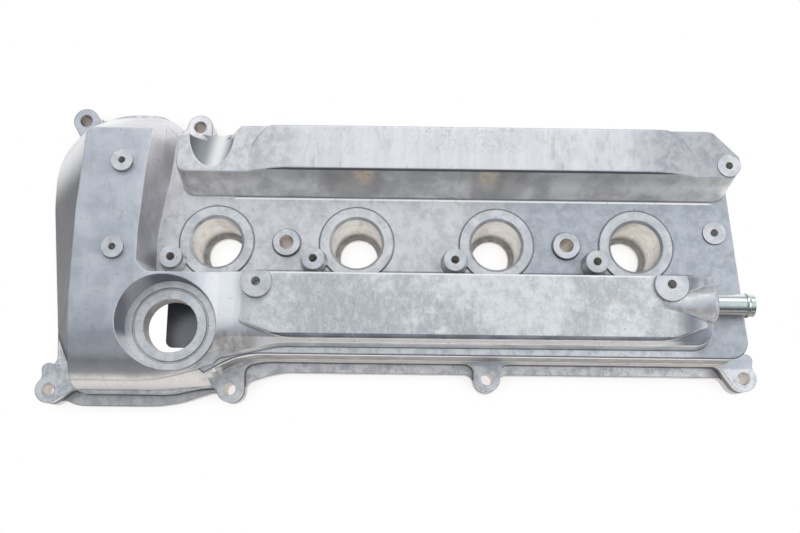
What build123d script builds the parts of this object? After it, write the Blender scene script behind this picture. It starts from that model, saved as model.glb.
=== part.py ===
"""Valve cover of an in-line four-cylinder engine.

One aluminium die casting carries a pressed-in breather pipe and two screwed steel oil baffles.
Millimetres. The gasket face is the plane Z = 0 and the cover rises along +Z. The four plug wells
stand in a row along X, and the origin lies midway between the middle two, on the gasket face.
The timing case end is at -X, the breather pipe points to +X, and the front side is -Y.
"""

import os
from math import cos, radians, sin, tan

from build123d import *

# ---------------------------------------------------------------- driving dimensions
WALL = 3.5
BORE_PITCH = 97.5

# Heights above the gasket face.
FLANGE_TOP = 9.0
LUG_TOP = 22.0
DECK_TOP = 53.0
PLINTH_TOP = 61.5
FRONT_TOP = 70.0
REAR_TAB_TOP = 72.0
REAR_TOP = 76.0
HUMP_TOP = 85.0
SHELF_TOP = 66.8

# Front and rear limits of the forms at their own top level.
FLANGE_FRONT = -86.3
FLANGE_REAR = 88.5
FLANGE_WIDTH = 7.0
FLANGE_REAR_WIDTH = 9.0
HUMP_FLANGE_FRONT = -111.8
HUMP_FLANGE_REAR = 108.0
FRONT_BACK_EDGE = -23.2
FRONT_FRONT_EDGE = -67.6
REAR_FOOT_FRONT = 33.3
REAR_TOP_REAR = 78.8
REAR_TAB_REAR = 72.8

# Plug wells.
WELL_RING_R = 25.5
WELL_RING_RISE = 1.0
WELL_CHAMFER_R = 19.2
WELL_BORE_R = 17.4
WELL_LIP_R = 13.7
WELL_LIP_TOP = 4.0
WELL_TUBE_R = 21.4

# Oil filler neck.
FILLER_X = -172.5
FILLER_Y = -60.9
FILLER_FACE = 66.0
FILLER_FACE_R = 30.6
RECESS_DRAFT = 8.0
FILLER_GROOVE_R = 25.9
FILLER_BORE_R = 18.2
FILLER_GROOVE_WIDTH = 1.6
FILLER_GROOVE_DEPTH = 1.2
FILLER_DEPTH = 16.0
FILLER_FLAT_Y = -90.9

# Breather pipe and its cast boss.
PIPE_Y = -41.8
PIPE_Z = 62.0
PIPE_R = 7.75
PIPE_BORE_R = 5.9
PIPE_ROOT_X = 179.0
PIPE_TIP_X = 222.5
PIPE_BEAD_BACK = 4.5
PIPE_BEAD_RISE = 0.8
BEAD_SINK = 1.2
PIPE_BOSS_R = 14.0
PIPE_BOSS_FACE_X = 196.5
PIPE_BOSS_ROOT_X = 160.0
PIPE_BOSS_SLOPE = 8.4
PIPE_BOSS_RIM_R = 3.0

# Bolt lugs round the flange: x, y and the heading of the web that joins each to the wall.
# The holes are for M8 shoulder bolts.
LUG_R = 9.3
LUG_HOLE_R = 4.4
LUG_FILLET = 6.5
LUGS = [
    (-266.4, -101.7, 35),
    (-138.0, -99.6, 90),
    (44.7, -90.4, 90),
    (227.5, -88.0, 125),
    (203.0, 86.0, 250),
    (20.0, 88.4, 270),
    (-168.5, 94.7, 270),
    (-253.8, 98.6, 300),
]
LUG_WEB = 22.0
# Small ejector lobes beside two of the lugs.
LOBES = [(-267.0, -87.5), (229.5, -75.5)]
LOBE_R = 5.0

# Centre studs between the wells.
STUD_BOSS_R = 9.3
STUD_HOLE_R = 4.85
STUD_BOSS_TOP = 56.0

# Coil screw bosses, beside each well.
COIL_DX = -29.3
COIL_DY = -13.0
COIL_BOSS_TOP = 65.0
COIL_BOSS_R = 7.8
COIL_BOSS_DRAFT = 7.0
COIL_HOLE_R = 2.8
COIL_HOLE_DEPTH = 18.0

# Oil baffles.
BAFFLE_SHEET = 1.5
BAFFLE_TOP = 22.0
BAFFLE_RIB = 3.0
SCREW_R = 2.4
SCREW_HEAD_R = 4.6
SCREW_HEAD_HEIGHT = 3.0
SCREW_LENGTH = 10.0
SCREW_BOSS_R = 5.5
SCREW_CLEARANCE = 0.2
BAFFLE_SCREWS = [
    (-146, -64), (-60, -64), (30, -64), (110, -64), (181.5, -62), (-146, -31), (97.5, -31), (181.5, -31),
    (-159, 43), (-97.5, 42), (0, 42), (97.5, 42), (196, 43), (-159, 65), (-97.5, 66), (0, 66), (97.5, 66), (196, 65),
]

# Small cast bosses with a blind threaded hole: x, y, foot, top, radius, hole radius.
PLAIN_BOSSES = [
    (-206.7, 48.2, 83, 88, 7.5, 2.3),
    (-209.3, -11.6, 83, 88, 7.5, 2.3),
    (201.7, 10.8, 50, 54, 8.2, 2.65),
    (208.4, 54.2, 5, 72.6, 8.0, 2.5),
]
# Discs on the front chamber, cut flush with its back edge.
DISCS = [
    (-115.4, -31.0, 67, 73, 10.7, 3.0),
    (165.2, -29.7, 67, 73, 11.5, 3.0),
]
BOSS_HOLE_DEPTH = 12.0

# Gasket groove in the flange face.
SEAL_GROOVE_DEPTH = 2.5
SEAL_GROOVE_WIDTH = 2.8
SEAL_GROOVE_OUT = 1.1


# ---------------------------------------------------------------- drawing helpers
def outline(corners, grow=0.0):
    """Closed face through (x, y, radius) corners given anticlockwise, moved outwards by grow."""
    count = len(corners)
    points = [Vector(x, y) for x, y, _ in corners]
    moved = []
    for index, point in enumerate(points):
        before = (point - points[index - 1]).normalized()
        after = (points[(index + 1) % count] - point).normalized()
        out_before = Vector(before.Y, -before.X)
        out_after = Vector(after.Y, -after.X)
        middle = (out_before + out_after).normalized()
        moved.append(point + middle * (grow / middle.dot(out_before)))
    edges = []
    arcs = []
    for index, point in enumerate(moved):
        back = (moved[index - 1] - point).normalized()
        ahead = (moved[(index + 1) % count] - point).normalized()
        turn = back.cross(ahead).Z
        half = radians(back.get_angle(ahead)) / 2
        radius = max(corners[index][2] + (grow if turn < 0 else -grow), 0.3)
        reach = radius / tan(half)
        depth = radius / sin(half) - radius
        arcs.append((point + back * reach, point + (back + ahead).normalized() * depth, point + ahead * reach))
    for index, (start, middle, end) in enumerate(arcs):
        edges.append(Edge.make_line(arcs[index - 1][2], start))
        edges.append(Edge.make_three_point_arc(start, middle, end))
    return Face(Wire(edges))


def block(corners, low, high, draft=0.0, grow=0.0):
    """Block on an outline from low to high; its walls lean in by draft degrees above low."""
    lower = Pos(0, 0, low) * outline(corners, grow)
    upper = Pos(0, 0, high) * outline(corners, grow - (high - low) * tan(radians(draft)))
    return loft([lower, upper], ruled=True)


def leaning(low_corners, low, high_corners, high, level):
    """Corners at a level on the straight line between two outlines with as many corners each."""
    share = (level - low) / (high - low)
    mixed = []
    for (xa, ya, ra), (xb, yb, rb) in zip(low_corners, high_corners):
        mixed.append((xa + (xb - xa) * share, ya + (yb - ya) * share, ra + (rb - ra) * share))
    return mixed


def tower(low_corners, low, high_corners, high, start, stop, grow=0.0):
    """Straight-walled block through two outlines, carried on from level start to level stop."""
    first = outline(leaning(low_corners, low, high_corners, high, start), grow)
    last = outline(leaning(low_corners, low, high_corners, high, stop), grow)
    return loft([Pos(0, 0, start) * first, Pos(0, 0, stop) * last], ruled=True)


def post(x, y, low, high, radius, top_radius=None):
    """Round post, straight or tapering to top_radius."""
    end_radius = radius if top_radius is None else top_radius
    place = Pos(x, y, (low + high) / 2)
    if end_radius == radius:
        return place * Cylinder(radius, high - low)
    return place * Cone(radius, end_radius, high - low)


def sag(radius, run):
    """Drop of an arc over a run from its level crown."""
    return radius - (radius**2 - run**2) ** 0.5


# ---------------------------------------------------------------- outlines, anticlockwise from the front left
FLANGE = [
    (-263.5, HUMP_FLANGE_FRONT, 20),
    (-183, HUMP_FLANGE_FRONT, 100),
    (-105, FLANGE_FRONT, 60),
    (233, FLANGE_FRONT, 10),
    (215.5, FLANGE_REAR, 16),
    (-176.9, FLANGE_REAR, 12),
    (-198, HUMP_FLANGE_REAR, 25),
    (-277, HUMP_FLANGE_REAR, 55),
    (-267.6, -45, 150),
]
SKIRT = [
    (-246, HUMP_FLANGE_FRONT + FLANGE_WIDTH + 1, 8),
    (-180, HUMP_FLANGE_FRONT + FLANGE_WIDTH + 1, 60),
    (-152, -97.5, 12),
    (-127, FLANGE_FRONT + FLANGE_WIDTH, 55),
    (225.5, FLANGE_FRONT + FLANGE_WIDTH, 14),
    (209.5, FLANGE_REAR - FLANGE_REAR_WIDTH, 12),
    (-174, FLANGE_REAR - FLANGE_REAR_WIDTH, 16),
    (-197, HUMP_FLANGE_REAR - FLANGE_REAR_WIDTH, 22),
    (-266.5, HUMP_FLANGE_REAR - FLANGE_REAR_WIDTH, 52),
    (-259, -57, 90),
]
DECK = [
    (-205, -80, 1),
    (-165, -80, 5),
    (-151.5, -92.5, 2),
    (-127, -78.4, 55),
    (223.5, -78.4, 13),
    (212, 45, 40),
    (210, 80, 12),
    (-205, 80, 1),
]
DECK_DRAFT = 1.3

# The timing case hump: wall outline at the flange top and at the crown.
HUMP_BASE = [
    (-248.2, HUMP_FLANGE_FRONT + 7.8, 8),
    (-150, HUMP_FLANGE_FRONT + 7.8, 3),
    (-150, -40, 3),
    (-176, -40, 3),
    (-176, HUMP_FLANGE_REAR - 1.5, 30),
    (-277, HUMP_FLANGE_REAR - 1.5, 53),
    (-276.4, 35, 120),
    (-266.5, -62, 50),
]
HUMP_CROWN = [
    (-234, HUMP_FLANGE_FRONT + 9.0, 3),
    (-150, HUMP_FLANGE_FRONT + 9.0, 3),
    (-150, -40, 3),
    (-176, -40, 3),
    (-176, 72.0, 4),
    (-232.3, 72.0, 4),
    (-236.0, 15, 120),
    (-236.4, -45, 50),
]
# The roof falls smoothly from the hump to the shelf over this stretch of X.
ROOF_FALL_START = -196.0
ROOF_FALL = 66.0
ROOF_STEPS = 6
ROOF_FOOT = -102.2
# The shelf beside the filler neck and the plinth in front of the front chamber.
RIDGE = [
    (-200, -108, 1),
    (-147.9, -108, 1),
    (-146.4, -80.3, 6),
    (-100, -70.6, 60),
    (194.6, -70.2, 12),
    (194.6, -10, 1),
    (-200, -10, 1),
]
RIDGE_DRAFT = 14.0
RIDGE_BOTTOM = 38.5
FRONT_CHAMBER = [
    (-127.4, -57.6, 4),
    (-97, FRONT_FRONT_EDGE - 0.6, 50),
    (163, FRONT_FRONT_EDGE, 50),
    (195.6, -56, 4),
    (195.6, -10, 1),
    (-127.4, -10, 1),
]
FRONT_DRAFT = 5.0
# The open valley over the wells, cut between the hump, the shelf and the front chamber.
VALLEY_LOW = [
    (-187.6, -26.2, 7),
    (-128, -22.7, 80),
    (260, -22.7, 1),
    (260, 140, 1),
    (-172, 140, 1),
    (-180.6, 52, 60),
    (-187.6, 2, 40),
]
VALLEY_HIGH = [
    (-193.8, -27.8, 10),
    (-128, -24.3, 80),
    (260, -24.3, 1),
    (260, 140, 1),
    (-180, 140, 1),
    (-190.8, 52, 60),
    (-193.8, 2, 40),
]
REAR_FOOT = [
    (-172, REAR_FOOT_FRONT, 9),
    (210, REAR_FOOT_FRONT, 9),
    (216.4, 59, 5),
    (198.5, REAR_TOP_REAR + 1.4, 8),
    (-130, REAR_TOP_REAR + 1.4, 4),
    (-135, REAR_TAB_REAR + 1.6, 4),
    (-172, REAR_TAB_REAR + 1.6, 5),
]
REAR_CROWN = [
    (-174.3, 48.1, 6),
    (216.6, 48.1, 7),
    (216.4, 60.5, 4),
    (197.5, REAR_TOP_REAR, 8),
    (-129.5, REAR_TOP_REAR, 4),
    (-134.5, REAR_TAB_REAR, 4),
    (-174.3, REAR_TAB_REAR, 4),
]

# Walls under the breather chambers that the oil baffles close.
FRONT_RING = [(-152, -69.5, 8), (188.5, -69.5, 8), (188.5, -24.4, 4), (-152, -24.4, 4)]
# The front baffle runs on past its chamber, under the filler neck.
FRONT_PLATE = [(-185, -70.7, 5), (189.7, -70.7, 8), (189.7, -23.2, 4), (-185, -23.2, 5)]
REAR_RING = [(-165, 36, 6), (203, 36, 6), (203, 72, 6), (-165, 72, 6)]
REAR_PLATE = [(-166.2, 34.8, 6), (204.2, 34.8, 6), (204.2, 73.2, 6), (-166.2, 73.2, 6)]
# Radii along the upper rims of the deck and the two chambers.
DECK_RIM_R = 1.2
FRONT_RIM_R = 1.5
REAR_RIM_R = 1.2
REAR_RIM_ABOVE = 65.0
# Round scoop across the front corner of the left rear tab.
SCALLOP_R = 15.5
SCALLOP_TILT = 39.0
SCALLOP_PLACE = Pos(-150, 73.5, REAR_TAB_TOP) * Rot(90 - SCALLOP_TILT, 0, 0)


# ---------------------------------------------------------------- forms, as an outer skin or inset as a cavity
def roll_section(x, crown, start_y, knee, foot_y, inset):
    """YZ section of the ridge at x: a level crown that rolls over a knee (y, z) down to its front foot."""
    top = crown - inset
    rear = 125.0
    floor = -10.0
    knee_y, knee_z = knee
    arc = Edge.make_spline(
        [Vector(x, start_y, top), Vector(x, knee_y + 0.6 * inset, knee_z - 0.8 * inset), Vector(x, foot_y + inset, FLANGE_TOP)],
        tangents=[Vector(0, -1, 0), Vector(0, -0.08, -1)],
        scale=True,
    )
    lines = [
        Edge.make_line((x, foot_y + inset, FLANGE_TOP), (x, foot_y + inset, floor)),
        Edge.make_line((x, foot_y + inset, floor), (x, rear, floor)),
        Edge.make_line((x, rear, floor), (x, rear, top)),
        Edge.make_line((x, rear, top), (x, start_y, top)),
    ]
    return Face(Wire([arc, *lines]))


def ridge_roof(inset):
    """Everything under the rolling roof of the hump, the shelf and the plinth."""
    places = [-295, *[ROOF_FALL_START + step * ROOF_FALL / ROOF_STEPS for step in range(ROOF_STEPS + 1)], 240]
    sections = []
    for x in places:
        along = min(max((x - ROOF_FALL_START) / ROOF_FALL, 0), 1)
        low = along**2 * (3 - 2 * along)
        knee = (-90 + 14 * low, 67 - 7 * low)
        crown = HUMP_TOP - (HUMP_TOP - SHELF_TOP) * low
        sections.append(roll_section(x, crown, -52 + 4 * low, knee, ROOF_FOOT + 4.2 * low, inset))
    return loft(sections, ruled=True)


def valley(inset):
    """The space over the wells, grown by inset when it shapes a cavity."""
    return tower(
        VALLEY_LOW, DECK_TOP, VALLEY_HIGH, HUMP_TOP, DECK_TOP - WALL - inset, HUMP_TOP + 10, grow=inset
    )


def hump_and_shelf(inset):
    """Timing case hump, shelf and plinth under their common roof."""
    low, high = FLANGE_TOP, HUMP_TOP + 6
    hump = tower(HUMP_BASE, FLANGE_TOP, HUMP_CROWN, HUMP_TOP, low, high, grow=-inset)
    lean = tan(radians(RIDGE_DRAFT))
    ridge = loft(
        [
            Pos(0, 0, low) * outline(RIDGE, (PLINTH_TOP - low) * lean - inset),
            Pos(0, 0, high) * outline(RIDGE, (PLINTH_TOP - high) * lean - inset),
        ],
        ruled=True,
    )
    ridge -= Box(900, 500, 2 * RIDGE_BOTTOM)
    return (hump + ridge) & ridge_roof(inset)


def front_chamber(inset):
    """Front breather chamber: a level crown with a long roll-off at the left and a short one at the right."""
    top = FRONT_TOP - inset
    left, flat_left, flat_right, right = -135.0, -100.0, 172.0, 204.0
    roof = [
        Edge.make_line((left, 0, 40), (right, 0, 40)),
        Edge.make_line((right, 0, 40), (right, 0, top - sag(44, right - flat_right))),
        Edge.make_three_point_arc(
            (right, 0, top - sag(44, right - flat_right)),
            (flat_right + 16, 0, top - sag(44, 16)),
            (flat_right, 0, top),
        ),
        Edge.make_line((flat_right, 0, top), (flat_left, 0, top)),
        Edge.make_three_point_arc(
            (flat_left, 0, top),
            (flat_left - 17, 0, top - sag(105, 17)),
            (left, 0, top - sag(105, flat_left - left)),
        ),
        Edge.make_line((left, 0, top - sag(105, flat_left - left)), (left, 0, 40)),
    ]
    slab = extrude(Pos(0, -120, 0) * Face(Wire(roof)), amount=140, dir=(0, 1, 0))
    lean = tan(radians(FRONT_DRAFT))
    sides = loft(
        [
            Pos(0, 0, 45) * outline(FRONT_CHAMBER, (FRONT_TOP - 45) * lean - inset),
            Pos(0, 0, FRONT_TOP + 5) * outline(FRONT_CHAMBER, -5 * lean - inset),
        ],
        ruled=True,
    )
    return sides & slab


def on_front_rim(edge):
    """Whether an edge runs along the upper rim of the front chamber, at its front or its ends."""
    middle = edge.position_at(0.5)
    box = edge.bounding_box()
    across_left = abs(middle.X + 100) < 0.5
    across_right = abs(middle.X - 172) < 0.5 and middle.Y > -60
    rim = box.min.Z > 55 and box.size.Z < 12 and middle.Y < -30
    return rim and not across_left and not across_right


def rear_chamber(inset):
    """Rear breather chamber: a raised plateau between two lower tabs, over one leaning front wall."""
    body = tower(REAR_FOOT, DECK_TOP, REAR_CROWN, REAR_TOP, FLANGE_TOP, REAR_TOP + 3, grow=-inset)
    tab = Pos(0, 0, REAR_TAB_TOP - inset - 100) * Box(900, 400, 200)
    crown = REAR_TOP - inset
    left, flat_left, flat_right, right = -124.0, -92.0, 148.0, 187.3
    left_z, right_z = crown - sag(130, flat_left - left), crown - sag(190, right - flat_right)
    roof = [
        Edge.make_line((left + inset, 0, 20), (right - inset, 0, 20)),
        Edge.make_line((right - inset, 0, 20), (right - inset, 0, right_z)),
        Edge.make_spline([(right - inset, 0, right_z), (flat_right, 0, crown)], tangents=[(-1, 0, 0.21), (-1, 0, 0)]),
        Edge.make_line((flat_right, 0, crown), (flat_left, 0, crown)),
        Edge.make_spline([(flat_left, 0, crown), (left + inset, 0, left_z)], tangents=[(-1, 0, 0), (-1, 0, -0.25)]),
        Edge.make_line((left + inset, 0, left_z), (left + inset, 0, 20)),
    ]
    plateau = extrude(Face(Wire(roof)), amount=140, dir=(0, 1, 0))
    rounded = block(
        [(-124, 0, 1), (187.3, 0, 1), (187.3, REAR_TOP_REAR + 4, 38), (-124, REAR_TOP_REAR + 4, 30)], 20, 90, grow=-inset
    )
    return body & (tab + (plateau & rounded))


def plan_with_lugs(corners):
    """Plan face of an outline with a web and a round end for every lug, and every inner corner rounded."""
    plan = outline(corners)
    for x, y, heading in LUGS:
        web = Pos(x, y) * Rot(0, 0, heading) * Pos(LUG_WEB / 2, 0) * Rectangle(LUG_WEB, 2 * LUG_R)
        plan += Pos(x, y) * Circle(LUG_R) + web
    for x, y in LOBES:
        plan += Pos(x, y) * Circle(LOBE_R)
    return offset(offset(plan, amount=LUG_FILLET), amount=-LUG_FILLET)


def bored(x, y, top, depth, radius):
    """Blind hole from a level top, as the cutting tool."""
    return post(x, y, top - depth, top + 1, radius)


def along_x(start, stop, y, z, radius, stop_radius=None):
    """Round bar or cone lying along X."""
    end_radius = radius if stop_radius is None else stop_radius
    place = Pos((start + stop) / 2, y, z) * Rot(0, 90, 0)
    if end_radius == radius:
        return place * Cylinder(radius, stop - start)
    return place * Cone(radius, end_radius, stop - start)


# ---------------------------------------------------------------- positions
wells = [((step - 1.5) * BORE_PITCH, 0.0) for step in range(4)]
studs = [(-BORE_PITCH, 0.0), (BORE_PITCH, 0.0)]
coil_bosses = [(x + COIL_DX, y + COIL_DY) for x, y in wells]

# ---------------------------------------------------------------- casting: outer form
front = front_chamber(0)
front_rim = [edge for edge in front.edges() if on_front_rim(edge)]
rear = rear_chamber(0)
rear_rim = [edge for edge in rear.edges() if edge.bounding_box().min.Z > REAR_RIM_ABOVE]
outer = (hump_and_shelf(0) + fillet(front_rim, FRONT_RIM_R)) - valley(0)
deck = block(DECK, LUG_TOP - 5, DECK_TOP, DECK_DRAFT)
outer += fillet(deck.faces().sort_by(Axis.Z)[-1].edges(), DECK_RIM_R)
outer += fillet(rear_rim, REAR_RIM_R)
outer += extrude(plan_with_lugs(SKIRT), amount=LUG_TOP)
outer += extrude(plan_with_lugs(FLANGE), amount=FLANGE_TOP)

cone_reach = PIPE_BOSS_FACE_X - PIPE_BOSS_ROOT_X
pipe_boss = along_x(
    PIPE_BOSS_ROOT_X,
    PIPE_BOSS_FACE_X,
    PIPE_Y,
    PIPE_Z,
    PIPE_BOSS_R - cone_reach * tan(radians(PIPE_BOSS_SLOPE)),
    PIPE_BOSS_R,
)
outer += fillet(pipe_boss.edges().sort_by(Axis.X)[-1], PIPE_BOSS_RIM_R)

# The filler neck face sits in a round recess cut back into the hump.
filler_boss = post(FILLER_X, FILLER_Y, DECK_TOP, FILLER_FACE, FILLER_FACE_R)
filler_boss -= Pos(FILLER_X, FILLER_FLAT_Y - 25, FILLER_FACE) * Box(100, 50, 60)
outer += filler_boss
recess_top = HUMP_TOP + 10
recess_r = FILLER_FACE_R + (recess_top - FILLER_FACE) * tan(radians(RECESS_DRAFT))
outer -= post(FILLER_X, FILLER_Y, FILLER_FACE, recess_top, FILLER_FACE_R, recess_r)
outer -= SCALLOP_PLACE * Cylinder(SCALLOP_R, 140)

bosses = []
for x, y in wells:
    bosses.append(post(x, y, DECK_TOP - 1, DECK_TOP + WELL_RING_RISE, WELL_RING_R))
for x, y in studs:
    bosses.append(post(x, y, DECK_TOP - 1, STUD_BOSS_TOP, STUD_BOSS_R))
for x, y in coil_bosses:
    spread = (COIL_BOSS_TOP - DECK_TOP + 1) * tan(radians(COIL_BOSS_DRAFT))
    bosses.append(post(x, y, DECK_TOP - 1, COIL_BOSS_TOP, COIL_BOSS_R + spread, COIL_BOSS_R))
for x, y, low, top, radius, _ in PLAIN_BOSSES:
    bosses.append(post(x, y, low, top, radius))
discs = [post(x, y, FRONT_TOP - 3, top, radius) for x, y, _, top, radius, _ in DISCS]
outer += [*bosses, *[disc - valley(0) for disc in discs]]

# ---------------------------------------------------------------- casting: cavity
cavity = (hump_and_shelf(WALL) + front_chamber(WALL)) - valley(WALL)
cavity += block(SKIRT, -1, FLANGE_TOP + 5, grow=-WALL)
cavity += block(DECK, FLANGE_TOP, DECK_TOP - WALL, DECK_DRAFT, grow=-WALL)
cavity += rear_chamber(WALL)
keep = [post(x, y, -5, DECK_TOP, WELL_TUBE_R) for x, y in wells]
keep += [post(x, y, -5, DECK_TOP, STUD_BOSS_R + 1.5) for x, y in studs]
keep += [pipe_boss, SCALLOP_PLACE * Cylinder(SCALLOP_R + WALL, 140)]
keep += [post(FILLER_X, FILLER_Y, FILLER_FACE - WALL, recess_top, FILLER_FACE_R + WALL, recess_r + WALL)]
keep += [post(FILLER_X, FILLER_Y, FILLER_FACE - FILLER_DEPTH, HUMP_TOP, FILLER_BORE_R + WALL + 0.5)]
for x, y in coil_bosses:
    keep.append(post(x, y, COIL_BOSS_TOP - COIL_HOLE_DEPTH - WALL, DECK_TOP, COIL_HOLE_R + WALL))
for x, y, _, top, _, hole in [*PLAIN_BOSSES, *DISCS]:
    keep.append(post(x, y, top - BOSS_HOLE_DEPTH - WALL, top, hole + WALL))
for ring in (FRONT_RING, REAR_RING):
    keep.append(block(ring, BAFFLE_TOP, FRONT_TOP) - block(ring, BAFFLE_TOP - 1, FRONT_TOP + 1, grow=-BAFFLE_RIB))
for x, y in BAFFLE_SCREWS:
    keep.append(post(x, y, BAFFLE_TOP, FRONT_TOP, SCREW_BOSS_R))
for solid in keep:
    cavity -= solid
cover = outer - cavity

# ---------------------------------------------------------------- casting: holes and grooves
holes = []
for x, y in wells:
    holes.append(post(x, y, WELL_LIP_TOP, DECK_TOP + 5, WELL_BORE_R))
    holes.append(post(x, y, -1, DECK_TOP, WELL_LIP_R))
    drop = WELL_CHAMFER_R - WELL_BORE_R
    ring_top = DECK_TOP + WELL_RING_RISE
    holes.append(post(x, y, ring_top - drop, ring_top, WELL_BORE_R, WELL_CHAMFER_R))
for x, y in studs:
    holes.append(post(x, y, -1, STUD_BOSS_TOP + 1, STUD_HOLE_R))
for x, y, _ in LUGS:
    holes.append(post(x, y, -1, LUG_TOP + 1, LUG_HOLE_R))
for x, y in coil_bosses:
    holes.append(bored(x, y, COIL_BOSS_TOP, COIL_HOLE_DEPTH, COIL_HOLE_R))
for x, y, _, top, _, hole in [*PLAIN_BOSSES, *DISCS]:
    holes.append(bored(x, y, top, BOSS_HOLE_DEPTH, hole))
for x, y in BAFFLE_SCREWS:
    holes.append(post(x, y, BAFFLE_TOP - 1, BAFFLE_TOP + SCREW_LENGTH - BAFFLE_SHEET + 1, SCREW_R))
holes.append(post(FILLER_X, FILLER_Y, FILLER_FACE - FILLER_DEPTH - 1, FILLER_FACE + 1, FILLER_BORE_R))
groove = post(FILLER_X, FILLER_Y, FILLER_FACE - FILLER_GROOVE_DEPTH, FILLER_FACE + 1, FILLER_GROOVE_R)
groove -= post(FILLER_X, FILLER_Y, 0, HUMP_TOP, FILLER_GROOVE_R - FILLER_GROOVE_WIDTH)
holes.append(groove)
holes.append(along_x(PIPE_ROOT_X, PIPE_BOSS_FACE_X + 1, PIPE_Y, PIPE_Z, PIPE_R))
holes.append(along_x(PIPE_BOSS_ROOT_X - 1, PIPE_ROOT_X, PIPE_Y, PIPE_Z, PIPE_BORE_R))
seal_outer = block(SKIRT, -1, SEAL_GROOVE_DEPTH, grow=SEAL_GROOVE_OUT)
holes.append(seal_outer - block(SKIRT, -2, SEAL_GROOVE_DEPTH + 1, grow=SEAL_GROOVE_OUT - SEAL_GROOVE_WIDTH))
cover -= holes

# ---------------------------------------------------------------- breather pipe
pipe = along_x(PIPE_ROOT_X, PIPE_TIP_X, PIPE_Y, PIPE_Z, PIPE_R)
bead = Pos(PIPE_TIP_X - PIPE_BEAD_BACK, PIPE_Y, PIPE_Z) * Rot(0, 90, 0) * Torus(PIPE_R - BEAD_SINK, BEAD_SINK + PIPE_BEAD_RISE)
pipe += bead
pipe -= along_x(PIPE_ROOT_X - 1, PIPE_TIP_X + 1, PIPE_Y, PIPE_Z, PIPE_BORE_R)

# ---------------------------------------------------------------- oil baffles and their screws
plates = []
for plan in (FRONT_PLATE, REAR_PLATE):
    plate = block(plan, BAFFLE_TOP - BAFFLE_SHEET, BAFFLE_TOP)
    for x, y in BAFFLE_SCREWS:
        plate -= post(x, y, 0, BAFFLE_TOP + 1, SCREW_R + SCREW_CLEARANCE)
    plates.append(plate)
front_plate, rear_plate = plates

screws = []
for x, y in BAFFLE_SCREWS:
    seat = BAFFLE_TOP - BAFFLE_SHEET
    shank = post(x, y, seat - 1, seat + SCREW_LENGTH, SCREW_R)
    head = post(x, y, seat - SCREW_HEAD_HEIGHT, seat, SCREW_HEAD_R)
    screws.append(shank + fillet(head.edges().sort_by(Axis.Z)[0], 1))

# ---------------------------------------------------------------- one file a node
os.makedirs("parts", exist_ok=True)
export_step(cover.solid(), "parts/cover_casting.step")
export_step(pipe.solid(), "parts/breather_pipe.step")
export_step(front_plate.solid(), "parts/front_baffle_plate.step")
export_step(rear_plate.solid(), "parts/rear_baffle_plate.step")
export_step(Compound(children=screws), "parts/baffle_screws.step")
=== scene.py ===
import math

import bpy
from mathutils import Matrix, Vector

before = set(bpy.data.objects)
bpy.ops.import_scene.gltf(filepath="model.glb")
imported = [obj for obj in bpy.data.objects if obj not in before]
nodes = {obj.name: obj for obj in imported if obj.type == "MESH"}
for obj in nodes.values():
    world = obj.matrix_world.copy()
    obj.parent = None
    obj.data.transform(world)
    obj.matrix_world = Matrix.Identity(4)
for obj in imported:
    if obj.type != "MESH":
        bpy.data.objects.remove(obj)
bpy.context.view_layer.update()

# Blender works in metres; places, levels, radii and mask limits on the part are written in mm
MM = 0.001
WHITE = (1.0, 1.0, 1.0)
# colours of painted shade: along edges, feet of walls and rims, and deep in inner corners
SHADE_DARK = (0.085, 0.09, 0.11)
CORNER_SHADE = (0.07, 0.07, 0.08)

# ---------------------------------------------------------------- levels, bores and bosses of the casting
FLANGE_TOP = 9.0
LUG_TOP = 22.0
DECK_TOP = 53.0
WELL_FOOT = 4.0
CROWNS_FROM = 65.5
# just outside the wall of a well, and of the chamfer at its mouth
WELL_R = 18.0
WELL_CHAMFER_R = 19.4

FILLER = (-172.5, -60.9)
WELLS = [(-146.25, 0), (-48.75, 0), (48.75, 0), (146.25, 0)]
STUDS = [(-97.5, 0), (97.5, 0)]
COILS = [(x - 29.3, -13.0) for x, _ in WELLS]
LUGS = [
    (-266.4, -101.7), (-138, -99.6), (44.7, -90.4), (227.5, -88),
    (203, 86), (20, 88.4), (-168.5, 94.7), (-253.8, 98.6),
]
# x, y and top of the threaded bosses: four small ones, then the two large ones of the front chamber
BOSSES = [
    (-206.7, 48.2, 88), (-209.3, -11.6, 88), (201.7, 10.8, 54), (208.4, 54.2, 72.6),
    (-115.4, -31, 73), (165.2, -29.7, 73),
]
SMALL_BOSSES = [(x, y) for x, y, _ in BOSSES[:4]]
LARGE_BOSSES = [(x, y) for x, y, _ in BOSSES[4:]]


def each(spots, *sizes):
    """The same sizes at each of the (x, y) spots."""
    return [(x, y, *sizes) for x, y in spots]


# x, y, foot and top of every bore, and a radius just outside its wall
BORES = [
    *each(WELLS, WELL_FOOT - 0.1, DECK_TOP, WELL_R),
    *each(WELLS, -1, WELL_FOOT + 0.1, 14.2),
    *each(STUDS, -1, 57, 5.3),
    *each(LUGS, -1, 23, 4.8),
    *each(COILS, 46, 64.9, 3.2),
    *[(x, y, top - 13, top - 0.1, 3.3) for x, y, top in BOSSES],
    *each([FILLER], 49, 65.9, 18.6),
]
# x, y, level and radius of every faced ring or boss top; the filler's groove is a second level
FACED = [
    *each(WELLS, 54.0, 25.6),
    *each(STUDS, 56.0, 9.4),
    *each(COILS, 65.0, 7.9),
    *[(x, y, top, 11.6) for x, y, top in BOSSES],
    *each([FILLER], 66.0, 30.7),
    *each([FILLER], 64.8, 30.7),
]


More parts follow.
